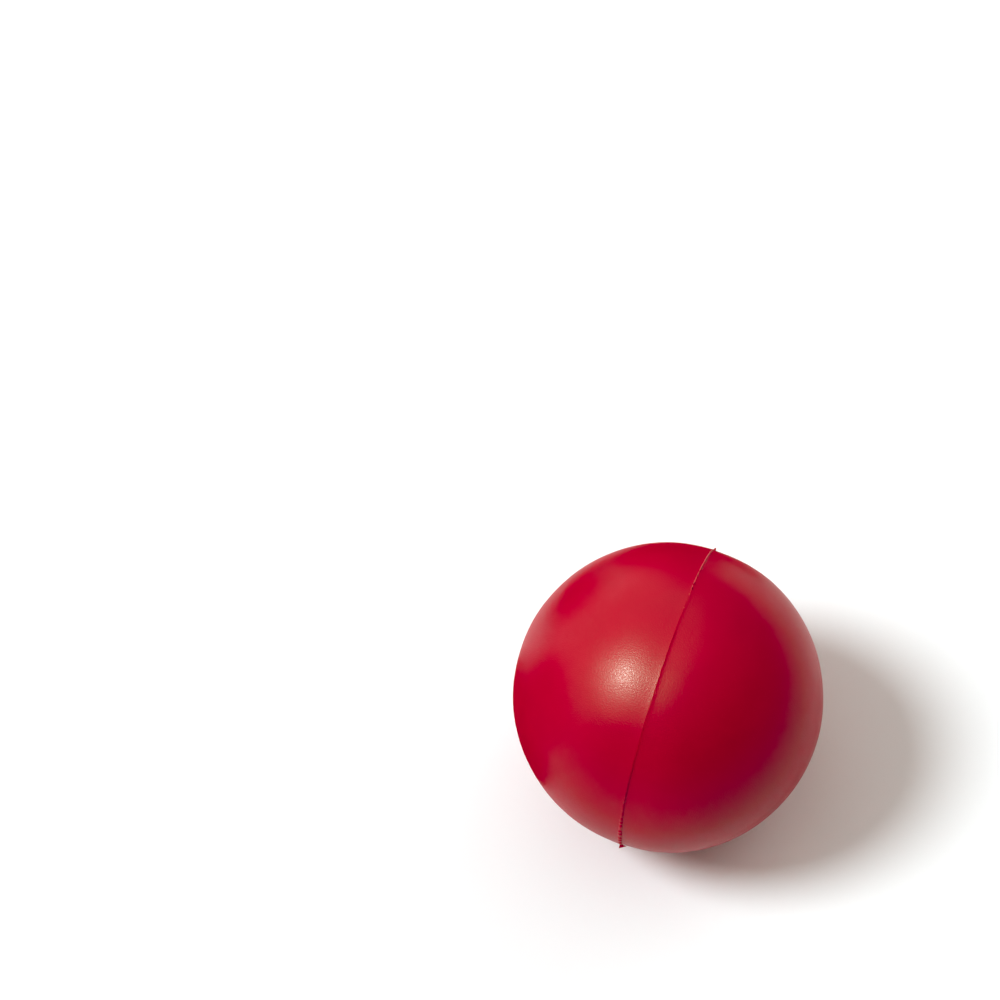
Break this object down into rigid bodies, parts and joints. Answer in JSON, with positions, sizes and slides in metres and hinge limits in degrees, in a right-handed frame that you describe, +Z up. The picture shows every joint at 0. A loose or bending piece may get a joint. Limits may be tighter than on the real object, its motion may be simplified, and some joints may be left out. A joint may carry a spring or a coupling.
{
  "type": "stress ball",
  "caption": "Round red foam ball with a satin skin and a raised moulding seam, squeezed in the hand and springing back.",
  "frame": {"origin": "centre of the ball", "axes": "+X along the mould axis, from the left half to the right half, square to the parting plane; +Z up as the ball lies on a desk; +Y along the seam, away from the viewer"},
  "size_m": [0.07, 0.0706, 0.0706],
  "materials": {
    "skin": "satin",
    "foam": "matte",
    "flash": "satin"
  },
  "bodies": {
    "core": {"foam_core": "foam", "parting_flash": "flash", "vent_nib": "flash", "flash_tab": "flash"},
    "left_half": {"left_skin": "skin"},
    "right_half": {"right_skin": "skin"}
  },
  "joints": [
    {"name": "left_squeeze", "type": "slide", "parent": "core", "child": "left_half", "axis": [1, 0, 0], "range_m": [0, 0.015], "stiffness_N_per_m": 3000, "deforming": ["left_skin", "foam_core"]},
    {"name": "right_squeeze", "type": "slide", "parent": "core", "child": "right_half", "axis": [-1, 0, 0], "range_m": [0, 0.015], "stiffness_N_per_m": 3000, "deforming": ["right_skin", "foam_core"]}
  ],
  "couplings": [
    {"joint": "right_squeeze", "follows": "left_squeeze", "ratio": 1}
  ]
}
